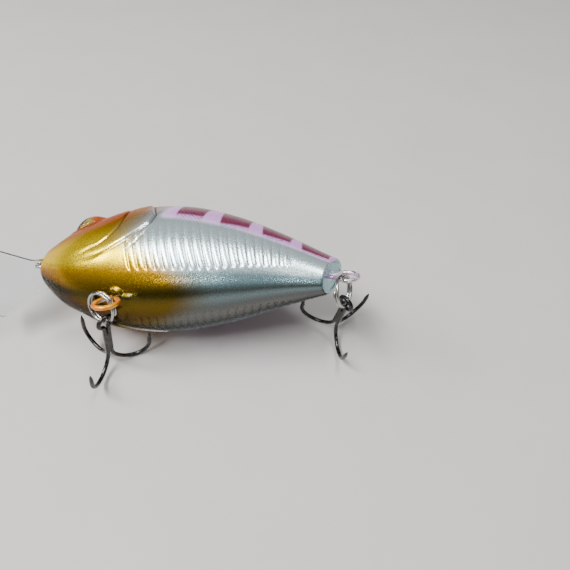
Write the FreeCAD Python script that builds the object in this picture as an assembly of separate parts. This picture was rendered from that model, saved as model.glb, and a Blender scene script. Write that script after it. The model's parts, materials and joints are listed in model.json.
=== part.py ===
import FreeCAD, Part
import math
import os

# Crankbait lure, 45 mm body, two treble hooks on split rings.
#
# Everything is modelled in millimetres in the lure's own frame first:
# +X from nose to tail, +Y to the fish's right, +Z to its back, with the
# nose tip at the origin. The finished lure is then laid on its right flank,
# propped by its hooks, and moved so the base's centre is the origin.

V = FreeCAD.Vector
X_AXIS = V(1, 0, 0)
Y_AXIS = V(0, 1, 0)
Z_AXIS = V(0, 0, 1)

# Body: distance from the nose, half width, back height, belly depth.
BODY_STATIONS = [
    (0.0, 0.55, 0.55, 1.15),
    (0.5, 1.35, 1.30, 2.00),
    (1.5, 2.40, 2.45, 3.35),
    (5.0, 4.65, 5.20, 6.30),
    (10.0, 6.85, 8.10, 9.00),
    (16.0, 8.50, 10.20, 10.00),
    (23.0, 8.85, 10.70, 9.40),
    (31.0, 7.35, 9.00, 7.35),
    (38.5, 4.70, 6.15, 5.10),
    (45.0, 2.20, 2.95, 3.95),
    (47.5, 1.40, 1.80, 3.40),
]
BODY_LENGTH = 45.0
TAIL_FACE_TILT = 14.2
TAIL_FACE_HEIGHT = -0.5

# Shell: two halves glued on the middle plane.
WALL = 1.2
CAVITY_START = 9.5
CAVITY_END = 37.5
CAVITY_STATIONS = 8
BULKHEAD = 1.0
PEG_SPOTS = [(12.5, 4.2), (21.0, 7.0), (35.0, 1.5)]
PEG_RADIUS = 0.8
PEG_REACH = 2.0
PEG_GAP = 0.05
BOSS_RADIUS = 1.7
BOSS_DEPTH = 3.0
BELLY_BLOCK = (9.0, 21.2, -2.4)

# How the lure lies: tail raised, belly turned up from level.
TAIL_RAISE = 9.12
BELLY_RAISE = 26.58

# Wire hangers: a ring outside, two legs and a smaller ring buried inside.
HANGER_WIRE = 0.6
HANGER_RING = 1.48
HANGER_BURIED_RING = 0.95
HANGER_LEG_GAP = 0.68
BELLY_LOOP = V(18.4, 0, -12.05)
BELLY_BURIED = V(18.4, 0, -5.9)
TAIL_LOOP = V(46.8, 0, -0.81)
TAIL_BURIED = V(40.6, 0, -0.81)

# Line tie: a smaller loop on a plain hairpin at the nose.
TIE_WIRE = 0.55
TIE_RING = 0.98
TIE_LEG_GAP = 0.62
TIE_LOOP = V(-1.45, 0, 0.62)
TIE_LEG_END = 5.4

# Diving lip: a flat clear plate, its tongue let into the chin.
LIP_THICKNESS = 1.2
LIP_ROOT = V(3.2, 0, -2.7)
LIP_DROP = 38.0
LIP_TONGUE = 3.0
LIP_TONGUE_HALF_WIDTH = 2.3
LIP_FLARE_START = 2.2
LIP_FLARE_END = 7.6
LIP_HALF_WIDTH = 5.5
LIP_LENGTH = 11.4
LIP_CORNER = 1.2

# Eyes: a printed disc under a clear dome, let into each cheek.
EYE_SPOT = (8.5, 1.6)
EYE_TURN_FORWARD = 25.0
EYE_TURN_UP = 13.0
EYE_RADIUS = 2.45
EYE_DISC = 0.3
EYE_DOME_EDGE = 0.35
EYE_DOME_RISE = 1.2
EYE_SUNK = 0.55

# Ballast slug and rattle balls inside.
SLUG_RADIUS = 2.4
SLUG_LENGTH = 7.0
SLUG_SPOT = (12.8, -5.2)
BALL_RADIUS = 1.5
BALL_END_GAP = 0.05
TUBE_RADIUS = 1.7
TUBE_WALL = 0.8
TUBES = {"rattle_ball_front": (25.6, 0.6, 6.6), "rattle_ball_rear": (31.0, 0.6, 5.4)}

# Split rings: flat double coil with one crossover.
COIL_WIRE = 0.38
COIL_RADIUS = 1.985
COIL_PITCH = 0.40
COIL_CROSSOVER = 50.0
COIL_STEPS = 66
# A ring's place: where its wire passes through the loop, which way its
# centre lies from there, its normal, and how far round the hook has slid.
RINGS = {
    "belly": (V(18.4, 0, -11.32), V(-0.798, 0.576, 0.177), V(0.216, 0, 0.976), -13.7),
    "tail": (V(46.81, 0, -1.09), V(-0.182, 0.713, -0.677), V(0.937, -0.083, -0.34), -2.6),
}

# Treble hooks: a bent double with its eye, and a third hook brazed on.
HOOK_WIRE = 0.58
HOOK_SPACING = 0.64
EYE_WIRE_RING = 1.02
HOOK_SHANK = 7.4
HOOK_BEND = 2.6
HOOK_POINT = 1.4
HOOK_TAPER = 1.4
HOOK_TIP = 0.03
THIRD_SHANK_TOP = 2.2
BRAZE_TOP = 2.6
BRAZE_BOTTOM = 7.0
BRAZE_RADIUS = 0.5
BARB_LENGTH = 0.9
BARB_FOOT = 0.12
BARB_TIP = 0.04
BARB_SETBACK = 0.55
BARB_LEAN = 17.0
EYE_DROP = 0.27
# A hook's place in the laid-down frame: the way its shank points and the
# compass turn of its brazed third hook.
HOOKS = {
    "belly": (V(-0.217, -0.026, -0.976), 152.5),
    "tail": (V(-0.12, 0.25, -0.961), 49.0),
}


def laid_down():
    """Rotation from the lure's frame to the way it lies."""
    roll = FreeCAD.Rotation(X_AXIS, -(90.0 + BELLY_RAISE))
    tilt = FreeCAD.Rotation(Y_AXIS, -TAIL_RAISE)
    return tilt.multiply(roll)


def placed(shape, origin, x_dir, z_dir):
    """Copy of shape with its own X and Z axes turned to the given ways."""
    z_way = V(z_dir).normalize()
    x_way = (x_dir - z_way * x_dir.dot(z_way)).normalize()
    turn = FreeCAD.Rotation(x_way, z_way.cross(x_way), z_way, "ZXY")
    out = shape.copy()
    out.Placement = FreeCAD.Placement(origin, turn).multiply(out.Placement)
    return out


def section(station, inset=0.0):
    """Closed elliptical wire across the body at one station."""
    x, half_width, back, belly = station
    centre = V(x, 0, (back - belly) / 2)
    half_height = (back + belly) / 2 - inset
    tall = half_height >= half_width - inset
    major, minor = (half_height, half_width - inset) if tall else (half_width - inset, half_height)
    ellipse = Part.Ellipse(V(0, 0, 0), major, minor)
    wire = Part.Wire(ellipse.toShape())
    major_way = Z_AXIS if tall else Y_AXIS
    return placed(wire, centre, major_way, X_AXIS)


def station_at(x):
    """Body station at any distance from the nose, straight between the listed ones."""
    for near, far in zip(BODY_STATIONS, BODY_STATIONS[1:]):
        if near[0] <= x <= far[0]:
            share = (x - near[0]) / (far[0] - near[0])
            return tuple(a + share * (b - a) for a, b in zip(near, far))
    raise ValueError("station off the body")


def body_solid():
    """The lure's outer form, cut off at the leaning tail face."""
    form = Part.makeLoft([section(s) for s in BODY_STATIONS], True, False)
    block = Part.makeBox(20, 40, 40, V(0, -20, -20))
    lean = FreeCAD.Rotation(Y_AXIS, TAIL_FACE_TILT)
    block.Placement = FreeCAD.Placement(V(BODY_LENGTH, 0, TAIL_FACE_HEIGHT), lean)
    return form.cut(block)


def cavity_solid():
    """The hollow inside the shell before blocks and tubes fill parts of it."""
    step = (CAVITY_END - CAVITY_START) / (CAVITY_STATIONS - 1)
    spots = [CAVITY_START + step * i for i in range(CAVITY_STATIONS)]
    return Part.makeLoft([section(station_at(x), WALL) for x in spots], True, False)


def across(x, z, radius, reach):
    """Cylinder across the body, the same reach on both sides."""
    return Part.makeCylinder(radius, 2 * reach, V(x, -reach, z), Y_AXIS)


def shell_fillers(body):
    """Solid blocks, tube walls, bosses and eye pads standing in the cavity."""
    start, end, top = BELLY_BLOCK
    belly_block = Part.makeBox(end - start, 40, 20, V(start, -20, top - 20))
    bulkhead = Part.makeBox(BULKHEAD, 40, 40, V(end, -20, -20))
    fillers = [belly_block, bulkhead]
    for x, z, reach in TUBES.values():
        fillers.append(across(x, z, TUBE_RADIUS + TUBE_WALL, 20))
    for x, z in PEG_SPOTS:
        fillers.append(across(x, z, BOSS_RADIUS, BOSS_DEPTH))
    for side in (-1, 1):
        origin, out = eye_seat(side)
        pad = Part.makeCylinder(EYE_RADIUS + WALL, 3.4, origin - out * 3.6, out)
        fillers.append(pad.common(body))
    return fillers


def wire_ring(radius, wire, centre):
    """Ring of round wire lying in the lure's middle plane."""
    return Part.makeTorus(radius, wire / 2, centre, Y_AXIS)


def hanger(loop, buried, ring, buried_ring, wire, leg_gap):
    """Figure-eight wire hanger between its outer and buried rings."""
    way = (loop - buried).normalize()
    side = Y_AXIS.cross(way)
    half_gap = leg_gap / 2
    parts = [wire_ring(ring, wire, loop), wire_ring(buried_ring, wire, buried)]
    start = buried + way * math.sqrt(buried_ring ** 2 - half_gap ** 2)
    end = loop - way * math.sqrt(ring ** 2 - half_gap ** 2)
    for sign in (-1, 1):
        foot = start + side * (sign * half_gap)
        parts.append(Part.makeCylinder(wire / 2, (end - start).Length, foot, way))
    return parts[0].multiFuse(parts[1:]).removeSplitter()


def line_tie():
    """Nose loop with two straight legs set in the head."""
    half_gap = TIE_LEG_GAP / 2
    start = TIE_LOOP.x + math.sqrt(TIE_RING ** 2 - half_gap ** 2)
    parts = []
    for sign in (-1, 1):
        foot = V(start, 0, TIE_LOOP.z + sign * half_gap)
        parts.append(Part.makeCylinder(TIE_WIRE / 2, TIE_LEG_END - start, foot, X_AXIS))
    return wire_ring(TIE_RING, TIE_WIRE, TIE_LOOP).multiFuse(parts).removeSplitter()


def diving_lip():
    """Clear plate: tongue, flare and rounded front, in its own plane then leaned."""
    half = LIP_THICKNESS / 2
    right = [
        V(-LIP_TONGUE, LIP_TONGUE_HALF_WIDTH, -half),
        V(LIP_FLARE_START, LIP_TONGUE_HALF_WIDTH, -half),
        V(LIP_FLARE_END, LIP_HALF_WIDTH, -half),
    ]
    left = [V(p.x, -p.y, p.z) for p in reversed(right)]
    front = Part.Arc(right[-1], V(LIP_LENGTH, 0, -half), left[0]).toShape()
    edges = [Part.makeLine(a, b) for a, b in zip(right, right[1:])]
    edges.append(front)
    edges += [Part.makeLine(a, b) for a, b in zip(left, left[1:])]
    edges.append(Part.makeLine(left[-1], right[0]))
    plate = Part.Face(Part.Wire(edges)).extrude(V(0, 0, LIP_THICKNESS))
    corners = [e for e in plate.Edges if is_flare_corner(e)]
    plate = plate.makeFillet(LIP_CORNER, corners)
    lean = math.radians(LIP_DROP)
    forward_down = V(-math.cos(lean), 0, -math.sin(lean))
    return placed(plate, LIP_ROOT, forward_down, Y_AXIS.cross(forward_down))


def is_flare_corner(edge):
    """True for the upright edges where the lip is widest."""
    ends = [v.Point for v in edge.Vertexes]
    upright = len(ends) == 2 and abs(ends[0].z - ends[1].z) > LIP_THICKNESS / 2
    return upright and abs(ends[0].x - LIP_FLARE_END) < 0.01


def eye_seat(side):
    """Centre of an eye on the cheek's surface and the way it faces."""
    x, z = EYE_SPOT
    _, half_width, back, belly = station_at(x)
    middle = (back - belly) / 2
    half_height = (back + belly) / 2
    y = half_width * math.sqrt(1 - ((z - middle) / half_height) ** 2)
    forward = math.radians(EYE_TURN_FORWARD)
    up = math.radians(EYE_TURN_UP)
    out = V(
        -math.sin(forward),
        side * math.cos(forward) * math.cos(up),
        math.cos(forward) * math.sin(up),
    )
    return V(x, side * y, z), out


def eye_socket(side):
    """Round pocket that takes the disc and the dome's straight edge."""
    origin, out = eye_seat(side)
    depth = EYE_SUNK + 2.0
    return Part.makeCylinder(EYE_RADIUS, depth, origin - out * EYE_SUNK, out)


def eye_parts(side):
    """Disc and dome of one eye."""
    origin, out = eye_seat(side)
    disc = Part.makeCylinder(EYE_RADIUS, EYE_DISC, origin - out * EYE_SUNK, out)
    edge_foot = origin + out * (EYE_DISC - EYE_SUNK)
    edge = Part.makeCylinder(EYE_RADIUS, EYE_DOME_EDGE, edge_foot, out)
    ball_radius = (EYE_RADIUS ** 2 + EYE_DOME_RISE ** 2) / (2 * EYE_DOME_RISE)
    top = edge_foot + out * (EYE_DOME_EDGE + EYE_DOME_RISE)
    ball = Part.makeSphere(ball_radius, top - out * ball_radius)
    column = Part.makeCylinder(EYE_RADIUS, EYE_DOME_EDGE + EYE_DOME_RISE, edge_foot, out)
    dome = ball.common(column).fuse(edge).removeSplitter()
    return disc, dome


def slug():
    """Ballast slug across the belly block."""
    x, z = SLUG_SPOT
    return across(x, z, SLUG_RADIUS, SLUG_LENGTH / 2)


def rattle_ball(spot):
    """Loose ball at the low, right-hand end of its tube."""
    x, z, reach = spot
    return Part.makeSphere(BALL_RADIUS, V(x, reach - BALL_RADIUS - BALL_END_GAP, z))


def shells(pieces):
    """Left and right halves with every pocket cut for the pieces they hold."""
    body = body_solid()
    fillers = shell_fillers(body)
    hollow = cavity_solid().cut(fillers[0].multiFuse(fillers[1:]))
    cutters = [hollow, pieces["diving_lip"], pieces["line_tie"]]
    cutters += [pieces["belly_hanger"], pieces["tail_hanger"], pieces["belly_ballast"]]
    cutters += [eye_socket(-1), eye_socket(1)]
    cutters += [across(x, z, TUBE_RADIUS, reach) for x, z, reach in TUBES.values()]
    for cutter in cutters:
        body = body.cut(cutter)
    left_room = Part.makeBox(80, 40, 60, V(-10, -40, -30))
    right_room = Part.makeBox(80, 40, 60, V(-10, 0, -30))
    left = body.common(left_room)
    right = body.common(right_room)
    for x, z in PEG_SPOTS:
        left = left.fuse(Part.makeCylinder(PEG_RADIUS, PEG_REACH + 1, V(x, -1, z), Y_AXIS))
        socket = Part.makeCylinder(PEG_RADIUS + PEG_GAP, PEG_REACH + PEG_GAP, V(x, 0, z), Y_AXIS)
        right = right.cut(socket)
    return left.removeSplitter(), right.removeSplitter()


def coil_height(turned):
    """Height of the coil's wire after turning this many degrees."""
    low = -COIL_PITCH / 2
    ramp_start = 360.0 - COIL_CROSSOVER / 2
    share = min(max((turned - ramp_start) / COIL_CROSSOVER, 0.0), 1.0)
    return low + COIL_PITCH * (1 - math.cos(math.pi * share)) / 2


def split_ring():
    """Double coil of spring wire, its gap and crossover on the local +Y side."""
    start = COIL_CROSSOVER / 2
    end = 720.0 - start
    points = []
    for i in range(COIL_STEPS + 1):
        turned = start + (end - start) * i / COIL_STEPS
        angle = math.radians(turned + 90.0)
        points.append(V(COIL_RADIUS * math.cos(angle), COIL_RADIUS * math.sin(angle), coil_height(turned)))
    curve = Part.BSplineCurve()
    curve.interpolate(points)
    path = Part.Wire(curve.toShape())
    tangent = curve.tangent(curve.FirstParameter)[0]
    profile = Part.Wire(Part.makeCircle(COIL_WIRE / 2, points[0], tangent))
    return path.makePipeShell([profile], True, True)


def ring_place(name, lay):
    """Centre, way to the loop, normal, hook contact and wire way there, laid down."""
    through, centre_way, normal, slip = RINGS[name]
    to_centre = V(centre_way).normalize()
    normal = (normal - to_centre * normal.dot(to_centre)).normalize()
    centre = through + to_centre * COIL_RADIUS
    place = [lay.multVec(v) for v in (centre, to_centre * -1, normal)]
    down = Z_AXIS * -1
    lowest = (down - place[2] * down.dot(place[2])).normalize()
    hang = FreeCAD.Rotation(place[2], slip).multVec(lowest)
    return place[0], place[1], place[2], place[0] + hang * COIL_RADIUS


def barb(tip_height, reach):
    """Sliver raised on the inner side of a hook point."""
    lean = math.radians(BARB_LEAN)
    way = V(-math.sin(lean), 0, -math.cos(lean))
    foot = V(reach, 0, tip_height - BARB_SETBACK)
    return Part.makeCone(BARB_FOOT, BARB_TIP, BARB_LENGTH, foot, way)


def single_hook(top, spread):
    """One hook: shank down, round bend, point with barb, bending towards +X."""
    radius = HOOK_WIRE / 2
    shank = Part.makeCylinder(radius, HOOK_SHANK - top, V(spread, 0, -HOOK_SHANK), Z_AXIS)
    centre = V(spread + HOOK_BEND, 0, -HOOK_SHANK)
    ring = Part.makeTorus(HOOK_BEND, radius, centre, Y_AXIS)
    below = Part.makeBox(20, 4, 10, V(-10, -2, -HOOK_SHANK - 10))
    bend = ring.common(below)
    reach = spread + 2 * HOOK_BEND
    leg = Part.makeCylinder(radius, HOOK_POINT, V(reach, 0, -HOOK_SHANK), Z_AXIS)
    leg_top = HOOK_POINT - HOOK_SHANK
    taper = Part.makeCone(radius, HOOK_TIP, HOOK_TAPER, V(reach, 0, leg_top), Z_AXIS)
    sliver = barb(leg_top + HOOK_TAPER, reach)
    return shank.multiFuse([bend, leg, taper, sliver]).removeSplitter()


def spun(shape, degrees):
    """Copy of shape turned about the local shank axis."""
    out = shape.copy()
    out.rotate(V(0, 0, 0), Z_AXIS, degrees)
    return out


def treble_parts():
    """Double hook with eye, brazed third hook and the braze between them."""
    spread = HOOK_SPACING / math.sqrt(3)
    half_gap = HOOK_SPACING / 2
    leg_top = math.sqrt(EYE_WIRE_RING ** 2 - half_gap ** 2)
    hook = single_hook(leg_top, spread)
    eye_centre = V(-spread / 2, 0, 0)
    eye = Part.makeTorus(EYE_WIRE_RING, HOOK_WIRE / 2, eye_centre, X_AXIS)
    pair = eye.multiFuse([spun(hook, 120), spun(hook, -120)]).removeSplitter()
    third = single_hook(THIRD_SHANK_TOP, spread)
    core = Part.makeCylinder(BRAZE_RADIUS, BRAZE_BOTTOM - BRAZE_TOP, V(0, 0, -BRAZE_BOTTOM), Z_AXIS)
    braze = core.cut(pair).cut(third)
    return pair, third, braze


def place_treble(shape, name, contact):
    """Copy of a treble part hung on its ring's contact point."""
    shank, third_turn = HOOKS[name]
    shank = V(shank).normalize()
    turn = math.radians(third_turn)
    third_way = V(math.cos(turn), math.sin(turn), 0)
    third_way = (third_way - shank * third_way.dot(shank)).normalize()
    spread = HOOK_SPACING / math.sqrt(3)
    origin = contact + shank * EYE_DROP + third_way * (spread / 2)
    return placed(shape, origin, third_way, shank * -1)


def lure_pieces():
    """Every piece fixed to the body, in the lure's own frame."""
    pieces = {
        "diving_lip": diving_lip(),
        "line_tie": line_tie(),
        "belly_ballast": slug(),
    }
    pieces["belly_hanger"] = hanger(
        BELLY_LOOP, BELLY_BURIED, HANGER_RING, HANGER_BURIED_RING, HANGER_WIRE, HANGER_LEG_GAP
    )
    pieces["tail_hanger"] = hanger(
        TAIL_LOOP, TAIL_BURIED, HANGER_RING, HANGER_BURIED_RING, HANGER_WIRE, HANGER_LEG_GAP
    )
    for side, word in ((-1, "left"), (1, "right")):
        pieces[word + "_eye_disc"], pieces[word + "_eye_dome"] = eye_parts(side)
    pieces["left_body_shell"], pieces["right_body_shell"] = shells(pieces)
    for name, spot in TUBES.items():
        pieces[name] = rattle_ball(spot)
    return pieces


def hanging_pieces(lay):
    """Rings and hooks, built where they hang on the laid-down lure."""
    coil = split_ring()
    pair, third, braze = treble_parts()
    pieces = {}
    for name in RINGS:
        centre, to_loop, normal, contact = ring_place(name, lay)
        pieces[name + "_split_ring"] = placed(coil, centre, to_loop, normal)
        pieces[name + "_treble_pair"] = place_treble(pair, name, contact)
        pieces[name + "_treble_third"] = place_treble(third, name, contact)
        pieces[name + "_treble_braze"] = place_treble(braze, name, contact)
    return pieces


def base_centre(pieces):
    """Middle of the base of the box around everything."""
    box = Part.makeCompound(list(pieces.values())).optimalBoundingBox(False, False)
    return V((box.XMin + box.XMax) / 2, (box.YMin + box.YMax) / 2, box.ZMin)


def all_pieces():
    """Every piece in the shared frame, and the shift from the laid-down nose."""
    lay = FreeCAD.Placement(V(0, 0, 0), laid_down())
    pieces = {}
    for name, shape in lure_pieces().items():
        laid = shape.copy()
        laid.Placement = lay.multiply(laid.Placement)
        pieces[name] = laid
    pieces.update(hanging_pieces(lay))
    shift = base_centre(pieces) * -1
    for shape in pieces.values():
        shape.translate(shift)
    return pieces, shift


def main():
    os.makedirs("parts", exist_ok=True)
    pieces, _ = all_pieces()
    for name, shape in pieces.items():
        shape.exportStep("parts/" + name + ".step")


if __name__ == "__main__":
    main()
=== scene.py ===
import json
import math

import bmesh
import bpy
import numpy as np
from mathutils import Matrix, Vector


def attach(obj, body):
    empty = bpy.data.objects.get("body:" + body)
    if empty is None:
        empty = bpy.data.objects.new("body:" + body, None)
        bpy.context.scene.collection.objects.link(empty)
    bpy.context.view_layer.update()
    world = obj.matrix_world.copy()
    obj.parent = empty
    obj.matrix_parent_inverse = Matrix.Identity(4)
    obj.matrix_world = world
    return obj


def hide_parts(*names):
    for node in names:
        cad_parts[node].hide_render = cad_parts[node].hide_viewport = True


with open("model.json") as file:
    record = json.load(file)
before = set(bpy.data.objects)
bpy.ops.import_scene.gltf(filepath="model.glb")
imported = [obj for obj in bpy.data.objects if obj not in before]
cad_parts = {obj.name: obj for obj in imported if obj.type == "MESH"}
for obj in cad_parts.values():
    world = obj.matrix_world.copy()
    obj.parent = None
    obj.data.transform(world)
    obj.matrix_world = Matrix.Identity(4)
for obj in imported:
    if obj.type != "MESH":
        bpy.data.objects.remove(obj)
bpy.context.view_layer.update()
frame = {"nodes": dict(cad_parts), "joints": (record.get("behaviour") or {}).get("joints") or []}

# ---- the lure's own frame
# Millimetres: +X from nose to tail, +Y to the fish's right, +Z to its back, the
# nose tip at the origin. The lure lies with its tail raised and its belly turned
# up, and is laid there by the same two turns as the CAD.

MM = 0.001
TAIL_RAISE = math.radians(9.12)
BELLY_RAISE = math.radians(26.58)
LAY = Matrix.Rotation(-TAIL_RAISE, 3, "Y") @ Matrix.Rotation(-math.pi / 2 - BELLY_RAISE, 3, "X")

# A ring's place: where its wire passes through the loop, which way its centre
# lies from there, and its normal.
RINGS = {
    "belly": ((18.4, 0.0, -11.32), (-0.798, 0.576, 0.177), (0.216, 0.0, 0.976)),
    "tail": ((46.81, 0.0, -1.09), (-0.182, 0.713, -0.677), (0.937, -0.083, -0.34)),
}
JOINTS = {joint["name"]: joint for joint in frame["joints"]}


def joint_point(name):
    """A joint's point, in millimetres of the shared frame."""
    return Vector(JOINTS[name]["pos_m"]) / MM


NOSE = joint_point("belly_ring_swing") - LAY @ Vector(RINGS["belly"][0])

# ---- driving dimensions, mm

# Body: distance from the nose, half width, back height, belly depth.
STATIONS = np.array([
    (0.0, 0.55, 0.55, 1.15),
    (0.5, 1.35, 1.30, 2.00),
    (1.5, 2.40, 2.45, 3.35),
    (5.0, 4.65, 5.20, 6.30),
    (10.0, 6.85, 8.10, 9.00),
    (16.0, 8.50, 10.20, 10.00),
    (23.0, 8.85, 10.70, 9.40),
    (31.0, 7.35, 9.00, 7.35),
    (38.5, 4.70, 6.15, 5.10),
    (45.0, 2.20, 2.95, 3.95),
    (47.5, 1.40, 1.80, 3.40),
])
BODY_LENGTH = 45.0
NOSE_ROUND = 1.5
NOSE_POWER = 0.58
TAIL_TILT = math.tan(math.radians(14.2))
TAIL_FACE_HEIGHT = -0.5
TAIL_BLEND_START = 34.0
TAIL_FACE_TURN = -70.0
MEAN_RADIUS = 9.0
SKIN = 1.0

STEPS_ALONG = 430
STEPS_AROUND = 190
STEPS_INSIDE = 24
ALONG_POWER = 1.1

# Tail face: how far out from its middle each row of it lies, and how deep.
TAIL_FACE_ROWS = (
    (0.985, -0.02), (0.955, 0.0), (0.92, 0.0), (0.88, 0.02), (0.85, 0.08), (0.82, 0.15), (0.78, 0.19),
    (0.7, 0.2), (0.55, 0.2), (0.3, 0.2),
)

# Gill plates: each edge's distance from the nose against the turn round the
# body, which is 90 degrees at the back, 0 at the side and -90 at the belly.
OPERCLE = ((-60.0, 14.6), (-52.5, 16.7), (-47.5, 17.9), (-41.5, 19.3), (-33.0, 20.6), (-26.0, 21.4),
           (-15.5, 21.4), (5.0, 19.4), (20.0, 17.2), (34.0, 14.0))
PREOPERCLE = ((-54.0, 11.6), (-47.0, 14.1), (-44.5, 15.4), (-38.5, 16.4), (-29.5, 17.1), (-16.5, 16.9),
              (-2.5, 16.4), (12.0, 15.0), (24.0, 12.6))
GILL_LINE = ((-52.0, 19.4), (-46.0, 20.4), (-37.0, 21.2), (-30.0, 21.9))
# Each plate's edge, the turns where it ends low and high, and its share of the rise.
GILL_PLATES = ((OPERCLE, -60.0, 34.0, 1.0), (PREOPERCLE, -54.0, 20.0, 0.5))
PLATE_RISE = 0.22
PLATE_SPAN = ((-0.02, 0.32), (0.3, 5.0))
PLATE_LOW_FADE = 9.0
PLATE_HIGH_FADE = 14.0
PLATE_GROOVE = 0.10
GILL_LINE_DEPTH = 0.10

# Ribs: rounded ridges between narrow slanted grooves on each lower flank.
RIB_FIRST = 19.9
RIB_PITCH = 1.07
RIB_LAST = 41.0
RIB_CROWN = 0.026
RIB_GROOVE = 0.10
RIB_GROOVE_WIDTH = 0.11
RIB_MIDDLE = -55.0
RIB_FADE = 0.85
RIB_SLANT = ((19.0, 0.05), (27.0, 0.05), (36.5, 0.026), (41.0, 0.015))
RIB_LOW_END = ((19.0, -68.0), (30.0, -68.0), (37.0, -61.0), (41.0, -56.0))

# Slight hollows in the right side where the belly hook comes closest: place, turn,
# depth, and reach along and round the body.
HOOK_HOLLOWS = ((10.35, -51.0, 0.14, 1.5, 10.0), (19.1, -34.0, 0.10, 1.5, 9.0))

# Eyes.
EYE_SPOT = (8.5, 1.6)
EYE_FORWARD = math.radians(25.0)
EYE_UP = math.radians(13.0)
EYE_RADIUS = 2.45
EYE_SUNK = 0.55
EYE_DEPTH = 3.0
EYE_DISC = 0.3
EYE_EDGE = 0.35
EYE_RISE = 1.2
PRINT_CROWN = 1.05
PRINT_STEPS = 16
DOME_STEPS = 25
DOME_SUNK = 0.09
EYE_SOFT = 0.05
PUPIL_RADIUS = 1.25
PUPIL_RIM = 0.1
PUPIL_SHIFT = (0.75, -0.75)

# Small relief: collar and ridge at the hanger, brow, mouth line and tail edge.
COLLAR_RADIUS = 1.45
COLLAR_RISE = 0.32
RIDGE_RISE = 0.38
RIDGE_WIDTH = 0.34
RIDGE_SPAN = ((0.2, 1.1), (1.6, 3.4))
BROW_RISE = 0.16
MOUTH_DEPTH = 0.12
MOUTH_START = 0.15
MOUTH_SLOPE = 0.12
MOUTH_SPAN = ((0.3, 0.9), (3.6, 4.6))
TAIL_EDGE_DROP = 0.14
TAIL_EDGE_RUN = 0.3

# Diving lip.
LIP_THICKNESS = 1.2
LIP_ROOT = (3.2, 0.0, -2.7)
LIP_DROP = math.radians(38.0)
LIP_TONGUE = 3.0
LIP_TONGUE_HALF_WIDTH = 2.3
LIP_FLARE_START = 2.2
LIP_FLARE_END = 7.6
LIP_HALF_WIDTH = 5.5
LIP_LENGTH = 11.4
# Rounded edge of the plate: steps in from the outline and up from the lower face.
LIP_EDGE = ((0.34, 0.0), (0.16, 0.05), (0.05, 0.16), (0.0, 0.34))

# Wire hangers and line tie.
HANGER_WIRE = 0.3
HANGER_RING = 1.48
BURIED_RING = 0.95
HANGER_HALF_GAP = 0.34
HANGERS = {
    "belly": ((18.4, 0.0, -12.05), (18.4, 0.0, -5.9)),
    "tail": ((46.8, 0.0, -0.81), (40.6, 0.0, -0.81)),
}
TIE_WIRE = 0.275
TIE_RING = 0.98
TIE_HALF_GAP = 0.31
TIE_LOOP = (-1.45, 0.0, 0.62)
TIE_LEG_END = 5.4

# Split rings.
COIL_WIRE = 0.19
COIL_RADIUS = 1.985
COIL_PITCH = 0.40
COIL_CROSSOVER = 50.0
COIL_STEPS = 260

# Treble hooks.
HOOK_WIRE = 0.29
HOOK_SPREAD = 0.64 / math.sqrt(3.0)
HOOK_EYE = 1.02
HOOK_SHANK = 7.4
HOOK_BEND = 2.6
HOOK_POINT = 2.8
HOOK_TAPER = 2.0
THIRD_TOP = 2.2
EYE_DROP = 0.27
# The way each shank points and the compass turn of its third hook.
HOOKS = {
    "belly": ((-0.217, -0.026, -0.976), math.radians(152.5)),
    "tail": ((-0.12, 0.25, -0.961), math.radians(49.0)),
}

BARB_BELOW_TIP = 0.85
BARB_INSET = 0.04
BARB_LENGTH = 0.85
BARB_LEAN = math.radians(19.0)
BARB_RADII = (0.14, 0.02)
BARB_FLAT = 0.6

# Braze between the shanks.
BRAZE_TOP = 2.35
BRAZE_BOTTOM = 7.1
BRAZE_ROWS = 60
BRAZE_SIDES = 48
BRAZE_RADIUS = 0.475
BRAZE_LOBE = 0.07
BRAZE_WAVE = 0.012
BRAZE_CORE = 0.12
BRAZE_TAPER = 0.55
BRAZE_UNEVEN = 0.25
BRAZE_TIP = 0.05

# Step along every swept path.
PATH_STEP = 0.06

X_WAY = Vector((1.0, 0.0, 0.0))
Y_WAY = Vector((0.0, 1.0, 0.0))
Z_WAY = Vector((0.0, 0.0, 1.0))

# ---- paint layout

# Bars: start and end from the nose, and the turn of the lower edge at each.
BARS = (
    (24.0, 27.7, -13.0, -12.0),
    (30.0, 33.8, -17.0, -11.0),
    (35.6, 39.3, -14.0, -8.0),
    (40.9, 44.6, -14.0, -9.0),
)
BAR_SLANT = 0.028
BAR_EDGE = 0.12
BAR_HANG = 10.0
# Rear end of the gold head against the turn round the body.
GOLD_END = ((-90.0, 29.2), (-75.0, 27.4), (-62.0, 23.6), (-48.0, 20.0), (-28.0, 19.2), (-5.0, 20.2),
            (20.0, 22.0), (90.0, 22.0))
# RIM_SHARE and EDGE_SPAN: the pale lilac rim along the gill plate's raised edge, partly its own paint
# and partly a painted highlight.
RIM_SHARE = 0.75
PLATE_SHARE = 0.45
# Painted shade: how far the shade mask darkens the belly.
SHADE_SHARE = 0.9
EDGE_SPAN = ((-56.0, -40.0), (20.0, 34.0))
# Amber on the gill plate: how far ahead of its edge, and between which turns.
AMBER_AHEAD = ((0.3, 1.6), (3.2, 5.0))
AMBER_SPAN = ((-56.0, -40.0), (10.0, 30.0))
# Painted shade: a darker belly, by the turn from the left side round the belly to the right.
SHADE_SPAN = ((74.0, 112.0), (130.0, 165.0))
# Painted shade: a dark line in the groove behind each gill plate; its edge, share and turns.
GROOVE_LINES = (
    (OPERCLE, 0.8, ((-60.0, -52.0), (0.0, 30.0))),
    (PREOPERCLE, 0.7, ((-54.0, -46.0), (-10.0, 12.0))),
)

# ---- finishes

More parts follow.
